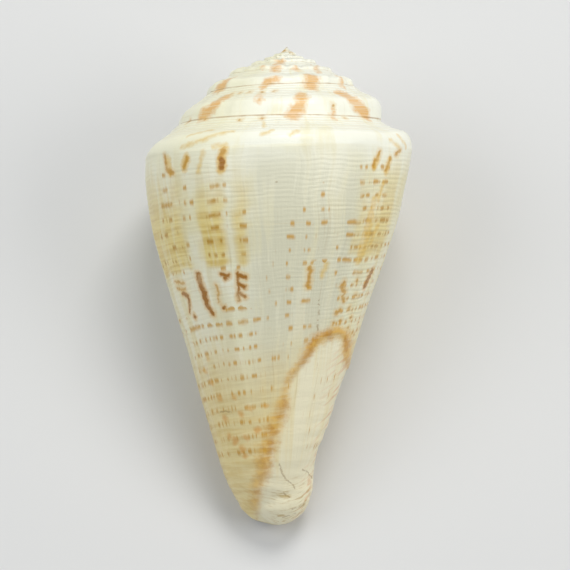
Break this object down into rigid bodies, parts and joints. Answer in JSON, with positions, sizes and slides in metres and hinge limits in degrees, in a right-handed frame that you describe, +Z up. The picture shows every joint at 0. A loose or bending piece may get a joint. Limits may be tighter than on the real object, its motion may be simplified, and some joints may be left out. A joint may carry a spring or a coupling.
{
  "type": "cone shell",
  "caption": "Cone-shaped sea snail shell with a stepped spire, rounded shoulder and long narrow aperture, lying on its aperture side.",
  "frame": {"origin": "bottom centre of the shell as it lies on its aperture side", "axes": "+Y toward the tip of the spire, +X to the right when seen from above with the spire up, +Z up, out of the back of the shell"},
  "size_m": [0.0346, 0.06, 0.0317],
  "materials": {
    "shell": "satin, porcelain-like, cream with brown marks"
  },
  "bodies": {
    "root": {"shell": "shell"}
  },
  "joints": []
}
